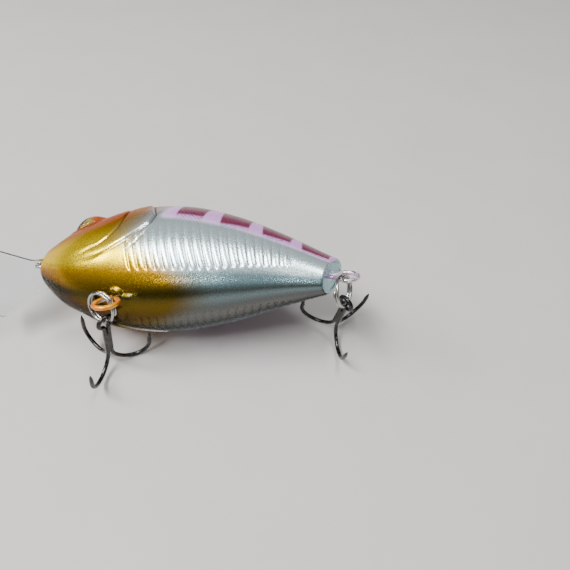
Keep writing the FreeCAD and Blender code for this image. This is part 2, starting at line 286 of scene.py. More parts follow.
# Plated metals: colour, worn colour, roughness and grain.
METALS = {
    "ring_steel": ((0.46, 0.45, 0.43), (0.30, 0.29, 0.27), 0.13, 1800.0),
    "hook_nickel": ((0.050, 0.048, 0.047), (0.10, 0.095, 0.09), 0.16, 1500.0),
    "braze": ((0.07, 0.065, 0.06), (0.15, 0.13, 0.11), 0.28, 2200.0),
    "ballast": ((0.32, 0.32, 0.34), (0.22, 0.22, 0.23), 0.42, 900.0),
    "rattle_steel": ((0.60, 0.60, 0.62), (0.50, 0.50, 0.52), 0.12, 1200.0),
}
# Painted wires: colour, second colour, and the paint left near the body and far from it.
WIRE_PAINTS = {
    "belly_hanger": ((0.78, 0.20, 0.0), (0.86, 0.38, 0.0), (0.5, 0.75)),
    "tail_hanger": ((0.80, 0.76, 0.80), (0.50, 0.24, 0.50), (0.55, 0.55)),
    "line_tie": ((0.92, 0.42, 0.006), (0.85, 0.28, 0.005), (0.3, 0.3)),
}
COVER_FADE = (0.6, -1.2)

# ---- studio

# Lights: name, way from the lure, distance, width, depth and power.
LIGHTS = (
    ("key", (-0.37, -0.24, 0.89), 0.45, 0.30, 0.08, 3.5),
    ("rear", (0.28, 0.10, 0.95), 0.45, 0.20, 0.06, 1.0),
    ("front", (-0.80, -0.02, 0.60), 0.45, 0.12, 0.08, 0.8),
    ("strip", (-0.08, -0.83, 0.55), 0.40, 0.12, 0.004, 0.14),
)
LIT_POINT = Vector((0.0, 0.003, 0.01))
FLOOR_REACH = 1.5

# Studio surround by height: darker round the horizon, light overhead.
SKY = (
    (0.0, (0.30, 0.30, 0.31)),
    (0.20, (0.38, 0.385, 0.39)),
    (0.50, (0.92, 0.97, 1.0)),
    (1.0, (0.98, 1.0, 1.0)),
)
SKY_STRENGTH = 0.30

# Camera: place in millimetres, its right, up and backward ways, lens and sensor.
CAMERA_PLACE = Vector((22.904, -35.678, 57.325))
CAMERA_RIGHT = Vector((0.98458856, 0.17482804, 0.00453058))
CAMERA_UP = Vector((-0.1373555, 0.75699783, 0.63881747))
CAMERA_BACK = Vector((0.10825357, -0.62959467, 0.76934499))
CAMERA_LENS = 27.55
CAMERA_SENSOR = 36.0

# ---- small helpers


def ease(value, low, high):
    """0 below low, 1 above high, smooth between."""
    share = np.clip((value - low) / (high - low), 0.0, 1.0)
    return share * share * (3.0 - 2.0 * share)


def between(value, span):
    """1 between two soft limits, each given as a (start, end), and 0 outside them."""
    start, end = span
    return ease(value, *start) * (1 - ease(value, *end))


def bump(value, middle, width):
    """Rounded hill of height 1 about the middle."""
    return np.exp(-((value - middle) / width) ** 2)


def along(points, value):
    """Value read off a line given by (place, value) points."""
    places, values = zip(*points)
    return np.interp(value, places, values)


def unit(vectors):
    """Vectors made one long."""
    return vectors / np.linalg.norm(vectors, axis=-1, keepdims=True)


def to_frame(points):
    """Lure millimetres to metres of the shared frame."""
    return (np.asarray(points, float) @ np.array(LAY).T + np.array(NOSE)) * MM


def face_outward(mesh):
    """Turn every face of a closed mesh to look out of it."""
    work = bmesh.new()
    work.from_mesh(mesh)
    bmesh.ops.recalc_face_normals(work, faces=work.faces)
    work.to_mesh(mesh)
    work.free()


def new_object(name, data):
    """Object in the scene that shows this data."""
    made = bpy.data.objects.new(name, data)
    bpy.context.scene.collection.objects.link(made)
    return made


def add_piece(node, form, points, faces, material, body="lure_body"):
    """Mesh object from points in metres, riding on a body in place of its CAD node."""
    name = node + "_" + form
    mesh = bpy.data.meshes.new(name)
    mesh.from_pydata(points.tolist(), [], faces)
    face_outward(mesh)
    mesh.polygons.foreach_set("use_smooth", np.ones(len(mesh.polygons), bool))
    mesh.update()
    piece = new_object(name, mesh)
    mesh.materials.append(material)
    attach(piece, body)
    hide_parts(node)
    return piece


def keep_sharp(piece, points):
    """Mark the edges that join these points as sharp."""
    chosen = np.zeros(len(piece.data.vertices), bool)
    chosen[list(points)] = True
    ends = np.empty(len(piece.data.edges) * 2, int)
    piece.data.edges.foreach_get("vertices", ends)
    piece.data.edges.foreach_set("use_edge_sharp", chosen[ends.reshape(-1, 2)].all(axis=1))


def add_values(piece, name, values):
    """Store a number, or a vector, for each point of a mesh; points past the end get 0."""
    kind, field = ("FLOAT_VECTOR", "vector") if values.ndim == 2 else ("FLOAT", "value")
    layer = piece.data.attributes.new(name, kind, "POINT")
    full = np.zeros((len(layer.data), *values.shape[1:]), np.float32)
    full[:len(values)] = values
    layer.data.foreach_set(field, full.ravel())


def compass(turn):
    """Level way that points at this turn from +X."""
    return Vector((math.cos(turn), math.sin(turn), 0.0))


def grid_faces(rows, columns, start=0, closed=False):
    """Quads between the rows of a grid of points."""
    faces = []
    last = columns if closed else columns - 1
    for i in range(rows - 1):
        for j in range(last):
            a = start + i * columns + j
            b = start + i * columns + (j + 1) % columns
            faces.append((a, b, b + columns, a + columns))
    return faces


# ---- materials


class Paint:
    """A new material, or the world, and short ways to add to its nodes."""

    def __init__(self, name, blocks=bpy.data.materials, surface="Principled BSDF", **inputs):
        self.block = blocks.new(name)
        self.block.use_nodes = True
        self.tree = self.block.node_tree
        self.surface = self.tree.nodes[surface]
        for socket, value in inputs.items():
            self.feed(socket.replace("_", " "), value)

    def join(self, source, target):
        """Link a node's output to an input, or set the input to a plain value."""
        if isinstance(source, bpy.types.NodeSocket):
            self.tree.links.new(source, target)
        else:
            target.default_value = (*source, 1.0) if target.type == "RGBA" else source

    def node(self, kind, inputs=None, **settings):
        """A node with its inputs joined and its settings made."""
        made = self.tree.nodes.new("ShaderNode" + kind)
        for key, value in settings.items():
            setattr(made, key, value)
        for socket, source in (inputs or {}).items():
            self.join(source, made.inputs[socket])
        return made

    def feed(self, socket, source):
        """Drive one input of the surface."""
        self.join(source, self.surface.inputs[socket])

    def feed_between(self, socket, share, low, high):
        """Drive one input of the surface from low to high as a share goes from 0 to 1."""
        self.feed(socket, self.spread(share, 0.0, 1.0, low, high))

    def value(self, name):
        return self.node("Attribute", attribute_name=name).outputs["Fac"]

    def vector(self, name):
        return self.node("Attribute", attribute_name=name).outputs["Vector"]

    def place(self):
        return self.node("TexCoord").outputs["Object"]

    def parts(self, vector):
        """X, Y and Z of a vector."""
        return self.node("SeparateXYZ", {0: vector}).outputs

    def noise(self, vector, scale, detail=2.0, rough=0.5):
        inputs = {"Vector": vector, "Scale": scale, "Detail": detail, "Roughness": rough}
        return self.node("TexNoise", inputs).outputs["Fac"]

    def speckle(self, vector, scale):
        """A random value for each small cell."""
        cells = self.node("TexVoronoi", {"Vector": vector, "Scale": scale})
        return self.node("SeparateColor", {"Color": cells.outputs["Color"]}).outputs["Red"]

    def maths(self, operation, first, second):
        return self.node("Math", {0: first, 1: second}, operation=operation).outputs[0]

    def times(self, first, second):
        return self.maths("MULTIPLY", first, second)

    def spread(self, source, low, high, to_low=0.0, to_high=1.0, kind="SMOOTHSTEP"):
        """Map a value from one range to another, held at both ends."""
        inputs = {"Value": source, "From Min": low, "From Max": high}
        inputs.update({"To Min": to_low, "To Max": to_high})
        return self.node("MapRange", inputs, interpolation_type=kind).outputs["Result"]

    def ramp(self, source, stops):
        """Colour that changes through (place, colour) stops."""
        made = self.node("ValToRGB", {"Fac": source})
        elements = made.color_ramp.elements
        while len(elements) < len(stops):
            elements.new(0.5)
        for element, (place, colour) in zip(elements, stops):
            element.position = place
            element.color = (*colour, 1.0)
        return made.outputs["Color"]

    def mix(self, share, first, second):
        made = self.node("Mix", {"Factor": share}, data_type="RGBA")
        targets = [socket for socket in made.inputs if socket.type == "RGBA"]
        for target, colour in zip(targets, (first, second)):
            self.join(colour, target)
        return [socket for socket in made.outputs if socket.type == "RGBA"][0]

    def rough(self, height, strength, distance):
        """Fine surface texture from a height."""
        made = self.node("Bump", {"Strength": strength, "Distance": distance, "Height": height})
        self.feed("Normal", made.outputs["Normal"])


PEARL = (0.74, 0.89, 0.91)
PEARL_AQUA = (0.28, 0.44, 0.48)
PEARL_SIDE = (0.80, 0.93, 0.97)
# Painted shade and dark painted reflection: the pearl's colour low on the belly, and its colour under
# the shade mask.
PEARL_SHADED_BELLY = (0.12, 0.13, 0.115)
PEARL_SHADE = (0.07, 0.055, 0.048)
# Painted highlight: the bright yellow band on the gold where the key light is reflected.
GOLD_HIGHLIGHT = (0.94, 0.68, 0.0)
GOLD_DEEP = (0.58, 0.31, 0.0)
GOLD_ORANGE = (0.62, 0.17, 0.0)
# Painted shade: the gold's colour low on the belly, and under the shade mask; also the painted shade in
# the groove behind each gill plate.
GOLD_SHADED_BELLY = (0.075, 0.058, 0.006)
GOLD_SHADE = (0.038, 0.027, 0.004)
AMBER = (0.56, 0.36, 0.12)
PINK = (0.56, 0.26, 0.60)
MAROON = (0.19, 0.03, 0.075)
MAROON_DARK = (0.03, 0.004, 0.012)
INK = (0.012, 0.012, 0.014)
# Gill plate rim: pale lilac, partly a painted highlight on the raised edge.
RIM = (0.70, 0.64, 0.84)
# Colours round the body, from the belly to the back, and the turns they lie between; the dark belly
# stops are painted shade and dark painted reflection, and the bright gold band is a painted highlight.
PEARL_STOPS = (
    (0.06, PEARL_SHADED_BELLY), (0.15, PEARL_AQUA), (0.22, PEARL_AQUA),
    (0.30, PEARL), (0.50, PEARL), (0.72, PEARL_SIDE),
)
GOLD_STOPS = (
    (0.10, GOLD_SHADED_BELLY), (0.27, GOLD_DEEP), (0.34, GOLD_HIGHLIGHT),
    (0.50, GOLD_HIGHLIGHT), (0.62, GOLD_DEEP), (0.74, GOLD_ORANGE),
)
STOP_TURNS = (-100.0, 20.0)
# Flakes in the foil, the printed net of scale lines, and the shine of foil and pigment.
FLAKES_PER_MM = 7.0
FLAKE_INK = 0.05
FLAKE_HEIGHT = 0.12
NET_PITCH = 0.27
NET_LINE = (0.03, 0.09)
NET_SLANT = 0.9
NET_SHIFT = 200.0
NET_INK = 0.9
FRAY = (0.42, 0.56)
PINK_COVER = 0.95
FOIL_METAL = 0.88
PIGMENT_METAL = 0.1
FOIL_ROUGH = (0.22, 0.31)


def body_paint():
    """Foil-bright gold head and pearl body, pink back with maroon bars, under clear lacquer, with
    painted shade on the belly and a painted highlight band on the gold.
    """
    paint = Paint("painted_shell", Coat_Weight=0.18, Coat_Roughness=0.05, Coat_IOR=1.4)
    lure = paint.vector("lure")
    sparkle = paint.speckle(lure, FLAKES_PER_MM)
    level = paint.spread(paint.value("turn"), *STOP_TURNS, kind="LINEAR")
    shade = paint.value("shade")
    # Painted shade and painted highlight: colours by turn darken towards the belly and brighten in the
    # gold's highlight band; the shade mask darkens the belly further.
    pearl = paint.mix(shade, paint.ramp(level, PEARL_STOPS), PEARL_SHADE)
    gold = paint.mix(shade, paint.ramp(level, GOLD_STOPS), GOLD_SHADE)
    foil = paint.mix(paint.value("gold"), pearl, gold)
    foil = paint.mix(paint.times(sparkle, FLAKE_INK), foil, INK)

    back, bar = paint.value("back"), paint.value("bar")
    colour = paint.mix(paint.value("plate"), foil, AMBER)
    colour = paint.mix(paint.times(back, PINK_COVER), colour, PINK)

    net = scale_net(paint)
    bar_colour = paint.mix(paint.times(net, NET_INK), MAROON, MAROON_DARK)
    colour = paint.mix(bar, colour, bar_colour)
    ragged = paint.spread(paint.noise(lure, 5.0, 4.0, 0.7), *FRAY)
    fringe = paint.times(paint.value("fringe"), paint.times(net, ragged))
    colour = paint.mix(fringe, colour, INK)
    colour = paint.mix(paint.value("edge"), colour, RIM)
    # Painted shade in the groove behind each gill plate.
    colour = paint.mix(paint.value("groove"), colour, GOLD_SHADED_BELLY)
    paint.feed("Base Color", colour)
    paint.feed("Specular Tint", colour)

    pigment = paint.maths("MAXIMUM", back, bar)
    paint.feed_between("Metallic", pigment, FOIL_METAL, PIGMENT_METAL)
    paint.feed_between("Roughness", sparkle, *FOIL_ROUGH)
    hammered = paint.noise(lure, 8.0, 3.0, 0.6)
    flakes = paint.times(sparkle, FLAKE_HEIGHT)
    paint.rough(paint.maths("ADD", hammered, flakes), 0.2, 0.00005)
    return paint.block


def scale_net(paint):
    """Thin crossing lines like the edges of small scales."""
    along_body, round_body, _ = paint.parts(paint.vector("flat"))
    slanted = paint.times(round_body, NET_SLANT)
    lines = []
    for operation in ("ADD", "SUBTRACT"):
        crossed = paint.maths("ADD", paint.maths(operation, along_body, slanted), NET_SHIFT)
        wave = paint.maths("PINGPONG", crossed, NET_PITCH)
        lines.append(paint.spread(wave, *NET_LINE, 1.0, 0.0))
    return paint.maths("MAXIMUM", lines[0], lines[1])


def clear_plastic(name, tint, ior):
    """Clear moulded plastic with faint scuffs."""
    paint = Paint(name, Base_Color=tint, IOR=ior, Transmission_Weight=1.0)
    scuff = paint.noise(paint.place(), 900.0, 4.0, 0.6)
    paint.feed("Roughness", paint.spread(scuff, 0.45, 0.8, 0.015, 0.09))
    return paint.block


def bright_metal(name, colour, worn_colour, roughness, grain):
    """Plated metal with fine wear."""
    paint = Paint(name, Metallic=1.0)
    place = paint.place()
    wear = paint.noise(place, grain, 4.0, 0.6)
    paint.feed("Base Color", paint.mix(paint.spread(wear, 0.5, 0.75), colour, worn_colour))
    paint.feed("Roughness", paint.spread(wear, 0.3, 0.8, roughness, roughness * 2.4))
    paint.rough(paint.noise(place, grain * 6.0, 2.0), 0.12, 0.00002)
    return paint.block


def painted_wire(name, paint_colour, second_colour):
    """Stainless wire with overspray paint chipped through to the metal."""
    paint = Paint(name, Coat_Weight=0.25, Coat_Roughness=0.08)
    place = paint.place()
    chips = paint.noise(place, 1500.0, 4.0, 0.65)
    kept = paint.maths("ADD", chips, paint.value("cover"))
    covered = paint.spread(kept, 0.98, 1.02)
    tint = paint.mix(paint.spread(paint.noise(place, 700.0), 0.4, 0.6), paint_colour, second_colour)
    paint.feed("Base Color", paint.mix(covered, (0.66, 0.65, 0.62), tint))
    paint.feed_between("Metallic", covered, 1.0, 0.55)
    paint.feed_between("Roughness", covered, 0.22, 0.34)
    paint.rough(covered, 0.4, 0.00004)
    return paint.block


def iris_print():
    """Printed foil iris: black pupil, gold ring, orange upper part."""
    paint = Paint("eye_print", Coat_Weight=0.5)
    spot = paint.vector("iris")
    across, up, _ = paint.parts(spot)
    shifted = paint.node("VectorMath", {0: spot, 1: (*PUPIL_SHIFT, 0.0)}, operation="SUBTRACT")
    distance = paint.node("VectorMath", {0: shifted.outputs["Vector"]}, operation="LENGTH")
    radius = paint.maths("DIVIDE", distance.outputs["Value"], EYE_RADIUS)
    drawn_out = paint.node("Mapping", {"Vector": spot, "Scale": (4.0, 4.0, 1.0)})
    streaks = paint.noise(drawn_out.outputs["Vector"], 1.6, 4.0, 0.7)
    gold = paint.mix(streaks, (0.86, 0.52, 0.06), (0.98, 0.80, 0.25))
    fire = paint.mix(streaks, (0.90, 0.14, 0.02), (0.98, 0.34, 0.04))
    upper = paint.spread(paint.maths("SUBTRACT", up, across), -0.3, 0.5)
    outer = paint.times(upper, paint.spread(radius, 0.60, 0.66))
    iris = paint.mix(outer, gold, fire)
    pupil = paint.spread(radius, 0.50, 0.53, 1.0, 0.0)
    paint.feed("Base Color", paint.mix(pupil, iris, INK))
    paint.feed_between("Metallic", pupil, 0.7, 0.0)
    paint.feed("Roughness", paint.spread(streaks, 0.3, 0.7, 0.25, 0.4))
    return paint.block


# ---- body


def station_values(place):
    """Half width, back height and belly depth at any distance from the nose."""
    x = STATIONS[:, 0]
    values = STATIONS[:, 1:]
    slopes = np.diff(values, axis=0) / np.diff(x)[:, None]
    near, far = np.diff(x)[:-1, None], np.diff(x)[1:, None]
    inner = (slopes[:-1] * far + slopes[1:] * near) / (near + far)
    tangents = np.vstack([slopes[:1], inner, slopes[-1:]])
    held = np.maximum(place, NOSE_ROUND)
    i = np.clip(np.searchsorted(x, held, side="right") - 1, 0, len(x) - 2)
    step = (x[i + 1] - x[i])[..., None]
    t = (held - x[i])[..., None] / step
    smooth = (
        (2 * t ** 3 - 3 * t ** 2 + 1) * values[i] + (t ** 3 - 2 * t ** 2 + t) * step * tangents[i]
        + (3 * t ** 2 - 2 * t ** 3) * values[i + 1] + (t ** 3 - t ** 2) * step * tangents[i + 1]
    )
    nose = (np.clip(place, 0.0, NOSE_ROUND) / NOSE_ROUND) ** NOSE_POWER
    return smooth * nose[..., None]


def plain_body(place, turn, side):
    """Points of the smooth body at a distance from the nose and a turn round it."""
    x = place
    for _ in range(4):
        half_width, back, belly = np.moveaxis(station_values(x), -1, 0)
        z = (back - belly) / 2 + (back + belly) / 2 * np.sin(turn)
        tilted = (z - TAIL_FACE_HEIGHT) * TAIL_TILT
        x = place + ease(place, TAIL_BLEND_START, BODY_LENGTH) * tilted
    return np.stack([x, side * half_width * np.cos(turn), z], -1)


def surface_normals(points, side):
    """Outward ways of a grid of points."""
    ways = np.cross(np.gradient(points, axis=0), np.gradient(points, axis=1))
    return unit(ways * side + 1e-12)


def eye_seat(side):
    """Centre of an eye on the cheek and the way it faces."""
    x, z = EYE_SPOT
    half_width, back, belly = station_values(np.array(x))
    share = (z - (back - belly) / 2) / ((back + belly) / 2)
    out = Vector((
        -math.sin(EYE_FORWARD),
        side * math.cos(EYE_FORWARD) * math.cos(EYE_UP),
        math.cos(EYE_FORWARD) * math.sin(EYE_UP),
    ))
    return Vector((x, side * half_width * math.sqrt(1 - share ** 2), z)), out


def plate_relief(place, degrees, edge, low, high):
    """Raised gill plate that ends at its rear edge."""
    ahead = along(edge, degrees) - place
    ends = between(degrees, ((low, low + PLATE_LOW_FADE), (high - PLATE_HIGH_FADE, high)))
    behind = PLATE_GROOVE * bump(ahead, -0.12, 0.16)
    return ends * (PLATE_RISE * between(ahead, PLATE_SPAN) - behind)


def rib_relief(place, degrees):
    """Stamped ribs of the lower flank."""
    slant = along(RIB_SLANT, place)
    count = (place + slant * (degrees - RIB_MIDDLE) - RIB_FIRST) / RIB_PITCH
    from_groove = np.abs(count - np.round(count)) * RIB_PITCH
    profile = -RIB_CROWN * np.cos(2 * np.pi * count)
    profile = profile - RIB_GROOVE * bump(from_groove, 0.0, RIB_GROOVE_WIDTH)
    low_end = along(RIB_LOW_END, place)
    ends = ease(degrees, low_end - 1.5, low_end + 2.5)
    ends = ends * (1 - RIB_FADE * ease(degrees, -42.0, -18.0))
    ends = ends * (1 - ease(degrees, -18.0, -6.0))
    behind_plate = place - along(OPERCLE, degrees)
    starts = ease(behind_plate, 0.25, 0.6) * ease(count, -0.6, -0.4)
    stops = 1 - ease(place, RIB_LAST - 1.5, RIB_LAST)
    return profile * ends * starts * stops


def hanger_boss(points):
    """Collar round the belly hanger with a short pointed ridge behind it."""
    x = points[..., 0] - HANGERS["belly"][0][0]
    y = points[..., 1]
    lower = points[..., 2] < 0
    collar = COLLAR_RISE * ease(COLLAR_RADIUS - np.hypot(x, y), 0.0, 0.7)
    ridge = RIDGE_RISE * bump(y, 0.0, RIDGE_WIDTH) * between(x, RIDGE_SPAN)
    return np.maximum(collar, ridge) * lower


def eye_place(points, side):
    """Height over the eye's seat, distance from its axis, and which points are near it."""
    centre, out = (np.array(v) for v in eye_seat(side))
    height = (points - centre) @ out
    reach = np.linalg.norm(np.cross(points - centre, out), axis=-1)
    return height, reach, height > -EYE_DEPTH


def eye_relief(points, side):
    """Brow round the eye, as a height."""
    _, reach, near = eye_place(points, side)
    return BROW_RISE * bump(reach, EYE_RADIUS + 0.55, 0.4) * near


def eye_pocket(points, side):
    """Points with the eye's flat pocket pressed in."""
    height, reach, near = eye_place(points, side)
    share = (1 - ease(reach, EYE_RADIUS - 0.02, EYE_RADIUS + 0.14)) * near
    return points - (share * (height + EYE_SUNK))[..., None] * np.array(eye_seat(side)[1])


def mouth_relief(points):
    """Shallow closed mouth line on the snout."""
    x, z = points[..., 0], points[..., 2]
    return -MOUTH_DEPTH * bump(z, MOUTH_START - MOUTH_SLOPE * x, 0.16) * between(x, MOUTH_SPAN)


def body_grid(side):
    """Outer points of one body half, with the numbers its paint needs."""
    share = np.linspace(0.0, 1.0, STEPS_ALONG)[1:]
    turns = np.linspace(90.0, -90.0, STEPS_AROUND)
    place, degrees = np.meshgrid(BODY_LENGTH * share ** ALONG_POWER, turns, indexing="ij")
    plain = plain_body(place, np.radians(degrees), side)
    ways = surface_normals(plain, side)
    height = sum(rise * plate_relief(place, degrees, *plate) for *plate, rise in GILL_PLATES)
    gill_line = bump(place, along(GILL_LINE, degrees), 0.16) * bump(degrees, -41.0, 8.0)
    height = height - GILL_LINE_DEPTH * gill_line + rib_relief(place, degrees)
    height = height + hanger_boss(plain) + eye_relief(plain, side) + mouth_relief(plain)
    if side > 0:
        for spot, low, depth, reach, spread in HOOK_HOLLOWS:
            height = height - depth * bump(place, spot, reach) * bump(degrees, low, spread)
    height = height - TAIL_EDGE_DROP * ease(place, BODY_LENGTH - TAIL_EDGE_RUN, BODY_LENGTH) ** 2
    ways[:, (0, -1), 1] = 0.0
    points = eye_pocket(plain + unit(ways) * height[..., None], side)
    points[:, (0, -1), 1] = 0.0
    return points, place, degrees


def tail_rows(rim):
    """Rows of the tail face, from its raised rim in to its middle."""
    middle = (rim[0] + rim[-1]) / 2
    inward = unit(np.array([-1.0, 0.0, TAIL_TILT]))
    rows = [middle + (rim - middle) * share + inward * depth for share, depth in TAIL_FACE_ROWS]
    return np.array(rows), middle + inward * TAIL_FACE_ROWS[-1][1]


def paint_values(place, degrees, side):
    """Where each of the body's colours lies, and where its painted shade falls."""
    gold_end = along(GOLD_END, degrees)
    gold = 1 - ease(place, gold_end - 3.4, gold_end + 3.2)
    back = ease(degrees, -24.0, -13.0) * ease(place, 21.2, 23.2)
    bar = fringe = np.zeros_like(place)
    for start, end, low_start, low_end in BARS:
        slant = BAR_SLANT * (degrees + BAR_HANG)
        within = ease(place + slant, start - BAR_EDGE, start + BAR_EDGE)
        within = within * (1 - ease(place + 0.4 * slant, end - BAR_EDGE, end + BAR_EDGE))
        low = low_start + (low_end - low_start) * np.clip((place - start) / (end - start), 0, 1)
        bar = np.maximum(bar, within * ease(degrees, low - 1.5, low + 3.5))
        fringe = np.maximum(fringe, within * bump(degrees, low - 1.0, 5.5))
    ahead = along(OPERCLE, degrees) - place
    # Pale lilac rim just ahead of the gill plate edge, partly a painted highlight on it.
    edge = RIM_SHARE * bump(ahead, 0.12, 0.13) * between(degrees, EDGE_SPAN)
    plate = PLATE_SHARE * between(ahead, AMBER_AHEAD) * between(degrees, AMBER_SPAN)
    # Painted shade along the groove behind each gill plate.
    groove = 0.0
    for gill, share, span in GROOVE_LINES:
        inked = bump(along(gill, degrees) - place, -0.12, 0.14)
        groove = groove + share * inked * between(degrees, span)
    # Painted shade: darker round the belly, reaching further up the right side.
    round_belly = -degrees if side < 0 else 180.0 + degrees
    shade = SHADE_SHARE * between(round_belly, SHADE_SPAN)
    return dict(gold=gold, back=back, bar=bar, fringe=fringe, edge=edge, groove=groove,
                plate=plate, shade=shade)


def inner_wall(place, face_rows, side):
    """Inside of a shell: the plain body drawn in towards its middle line."""
    along_body = np.concatenate([place[:, 0], np.full(face_rows, BODY_LENGTH)])
    turns = np.radians(np.linspace(90.0, -90.0, STEPS_INSIDE))
    wall = plain_body(*np.meshgrid(along_body, turns, indexing="ij"), side)
    half_width, back, belly = np.moveaxis(station_values(along_body), -1, 0)
    middle = np.stack([along_body, 0 * along_body, (back - belly) / 2], -1)[:, None, :]
    size = np.maximum(1 - SKIN / np.maximum(half_width, 0.4), 0.25)
    size[-face_rows:] *= [share for share, _ in TAIL_FACE_ROWS]
    wall = middle + (wall - middle) * size[:, None, None]
    wall[..., 0] = np.clip(wall[..., 0], SKIN, BODY_LENGTH - SKIN)
    return wall


def shell_faces(rows, columns):
    """Faces of a shell's skin, inside and seam, and the points of its outer edge."""
    count = rows * columns
    last = count + (rows - 1) * STEPS_INSIDE
    nose, tail, inner_nose, inner_tail = range(last + STEPS_INSIDE, last + STEPS_INSIDE + 4)
    faces = grid_faces(rows, columns) + grid_faces(rows, STEPS_INSIDE, count)
    faces += fan(nose, range(columns)) + fan(tail, range(count - columns, count))
    faces += fan(inner_nose, range(count, count + STEPS_INSIDE))
    faces += fan(inner_tail, range(last, last + STEPS_INSIDE))
    seam = []
    for edge, inner_edge in ((0, 0), (columns - 1, STEPS_INSIDE - 1)):
        outside = [nose, *range(edge, count, columns), tail]
        within = [inner_nose, *range(count + inner_edge, last + STEPS_INSIDE, STEPS_INSIDE), inner_tail]
        seam += outside
        for i in range(rows + 1):
            faces.append((outside[i], outside[i + 1], within[i + 1], within[i]))
    return faces, seam


def make_shell(side, name, material):
    """One half of the body: a painted skin, its inside and the seam between."""
    outer, place, degrees = body_grid(side)
    face_rows, face_middle = tail_rows(outer[-1])
    added = len(face_rows)
    skin = np.concatenate([outer, face_rows])
    inner_tail = (BODY_LENGTH - SKIN, 0.0, TAIL_FACE_HEIGHT)
    points = np.concatenate([
        skin.reshape(-1, 3), inner_wall(place, added, side).reshape(-1, 3),
        [(0.0, 0.0, 0.0), face_middle, (SKIN * 0.7, 0.0, 0.0), inner_tail],
    ])
    faces, seam = shell_faces(*skin.shape[:2])
    piece = add_piece(name, "skin", to_frame(points), faces, material)
    keep_sharp(piece, seam)
    add_values(piece, "lure", points)
    for key, grid in paint_values(place, degrees, side).items():
        add_values(piece, key, grid.ravel())
    turns = np.concatenate([degrees, np.full((added, STEPS_AROUND), TAIL_FACE_TURN)])
    add_values(piece, "turn", turns.ravel())
    flat = np.stack([place, np.radians(degrees) * MEAN_RADIUS, np.full_like(place, side)], -1)
    flat = np.concatenate([flat, np.repeat(flat[-1:], added, 0)])
    add_values(piece, "flat", flat.reshape(-1, 3))


def fan(tip, ring):
    """Triangles from one point to a row of points."""
    ring = list(ring)
    return [(tip, a, b) for a, b in zip(ring, ring[1:])]


def tube_faces(rows, sides):
    """Faces of rings joined in a row, each end closed on one of two last points."""
    last = (rows - 1) * sides
    faces = grid_faces(rows, sides, closed=True) + fan(rows * sides, [*range(sides), 0])
    return faces + fan(rows * sides + 1, [*range(last, last + sides), last])


# ---- turned and swept pieces


def turned_piece(profile, steps, centre, out):
    """Closed form turned from (radius, height) points about an axis; tips have radius 0."""
    out = Vector(out).normalized()
    across = out.cross(Z_WAY).normalized()
    up = across.cross(out)
    points = []
    for radius, height in profile[1:-1]:
        for i in range(steps):
            angle = 2 * math.pi * i / steps
            way = across * math.cos(angle) + up * math.sin(angle)
            points.append(centre + out * height + way * radius)
    points += [centre + out * profile[0][1], centre + out * profile[-1][1]]
    faces = tube_faces(len(profile) - 2, steps)
    flat = [((p - centre).dot(across), (p - centre).dot(up), 0.0) for p in points]
    return np.array(points), faces, np.array(flat)


def eye_profiles():
    """Cross sections of the iris disc and the clear dome over it."""
    top = EYE_DISC - EYE_SUNK
    disc = [(0.0, -EYE_SUNK), (EYE_RADIUS - 0.06, -EYE_SUNK), (EYE_RADIUS, -EYE_SUNK + EYE_SOFT),
            (EYE_RADIUS, top - 0.04), (EYE_RADIUS - EYE_SOFT, top)]
    for i in range(1, PRINT_STEPS):
        radius = (EYE_RADIUS - EYE_SOFT) * (1 - i / PRINT_STEPS)
        crown = PRINT_CROWN * (1 - (radius / EYE_RADIUS) ** 2)
        rim = EYE_SOFT * bump(radius, PUPIL_RADIUS, PUPIL_RIM)
        disc.append((radius, top + crown + rim))
    disc.append((0.0, top + PRINT_CROWN))
    ball = (EYE_RADIUS ** 2 + EYE_RISE ** 2) / (2 * EYE_RISE)
    foot = top - DOME_SUNK
    edge = EYE_RADIUS - 0.01
    dome = [(0.0, foot), (EYE_RADIUS - EYE_SOFT, foot), (edge, foot + 0.04)]
    for i in range(DOME_STEPS):
        radius = edge * (1 - i / DOME_STEPS)
        height = top + EYE_EDGE + math.sqrt(ball ** 2 - radius ** 2) - (ball - EYE_RISE)
        dome.append((radius, height))
    dome.append((0.0, top + EYE_EDGE + EYE_RISE))
    return disc, dome


def make_eyes(print_material, dome_material):
    """Both eyes: printed disc and clear dome."""
    disc, dome = eye_profiles()
    for side, word in ((-1, "left"), (1, "right")):
        centre, out = eye_seat(side)
        points, faces, flat = turned_piece(disc, 96, centre, out)
        piece = add_piece(word + "_eye_disc", "print", to_frame(points), faces,
                          print_material)
        add_values(piece, "iris", flat * np.array([-side, 1.0, 1.0]))
        points, faces, _ = turned_piece(dome, 96, centre, out)
        add_piece(word + "_eye_dome", "clear", to_frame(points), faces, dome_material)


def smoothed(points, reach, closed):
    """Path with its corners rounded over a few points."""
    points = np.array(points, float)
    width = int(reach * 3)
    weights = np.exp(-0.5 * (np.arange(-width, width + 1) / reach) ** 2)
    weights /= weights.sum()
    if closed:
        padded = np.concatenate([points[-width:], points, points[:width]])
    else:
        before = 2 * points[0] - points[width:0:-1]
        after = 2 * points[-1] - points[-2:-width - 2:-1]
        padded = np.concatenate([before, points, after])
    return np.stack([np.convolve(padded[:, k], weights, "valid") for k in range(3)], -1)


def evenly(points, step, closed):
    """Path with its points a given distance apart."""
    points = np.array(points, float)
    if closed:
        points = np.concatenate([points, points[:1]])
    lengths = np.concatenate([[0.0], np.cumsum(np.linalg.norm(np.diff(points, axis=0), axis=1))])
    count = max(int(round(lengths[-1] / step)), 2)
    places = np.linspace(0.0, lengths[-1], count + 1)
    if closed:
        places = places[:-1]
    return np.stack([np.interp(places, lengths, points[:, k]) for k in range(3)], -1)


